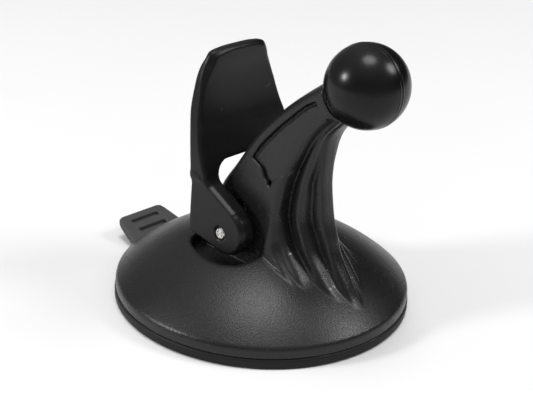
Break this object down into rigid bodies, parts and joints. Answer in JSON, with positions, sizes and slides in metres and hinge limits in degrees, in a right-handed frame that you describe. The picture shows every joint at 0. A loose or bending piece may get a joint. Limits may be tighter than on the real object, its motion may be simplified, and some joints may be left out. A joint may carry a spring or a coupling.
{
  "type": "suction cup ball mount",
  "caption": "Suction cup windscreen mount with a domed base, a fluted leaning arm ending in a ball, and a cam lever that pulls the cup's centre up.",
  "frame": {"origin": "centre of the suction cup, in the plane where its rubber edge seals on the glass", "axes": "+Z away from the glass along the cup's axis, +X the way the arm leans, +Y along the lever's pin"},
  "size_m": [0.074, 0.064, 0.0628],
  "materials": {
    "housing_plastic": "fine-grained satin black",
    "lever_plastic": "smooth satin black",
    "ball_plastic": "polished black",
    "stem_plastic": "plain moulded",
    "rubber": "soft matte black",
    "steel": "bright drawn"
  },
  "bodies": {
    "mount": {"housing": "housing_plastic", "ball": "ball_plastic", "ball_stud": "steel", "cup_rim": "rubber", "cup_web": "rubber", "return_spring": "steel"},
    "tab": {"pull_tab": "rubber"},
    "plunger": {"stem": "stem_plastic", "cup_core": "rubber", "spring_washer": "steel"},
    "cam_lever": {"lever": "lever_plastic", "pivot_pin": "steel"}
  },
  "joints": [
    {"name": "stem_lift", "type": "slide", "parent": "mount", "child": "plunger", "axis": [0, 0, 1], "range_m": [-0.0006, 0.0041], "deforming": ["return_spring", "cup_web"]},
    {"name": "lever_turn", "type": "hinge", "parent": "plunger", "child": "cam_lever", "pos_m": [0, 0, 0.0184], "axis": [0, -1, 0], "range_deg": [-9, 82]},
    {"name": "tab_flex", "type": "hinge", "parent": "mount", "child": "tab", "pos_m": [-0.032, 0, 0.0022], "axis": [0, 1, 0], "range_deg": [0, 40], "stiffness_Nm_per_rad": 0.004}
  ],
  "couplings": [
    {"joint": "stem_lift", "follows": "lever_turn", "m_per_rad": 0.0027949}
  ]
}
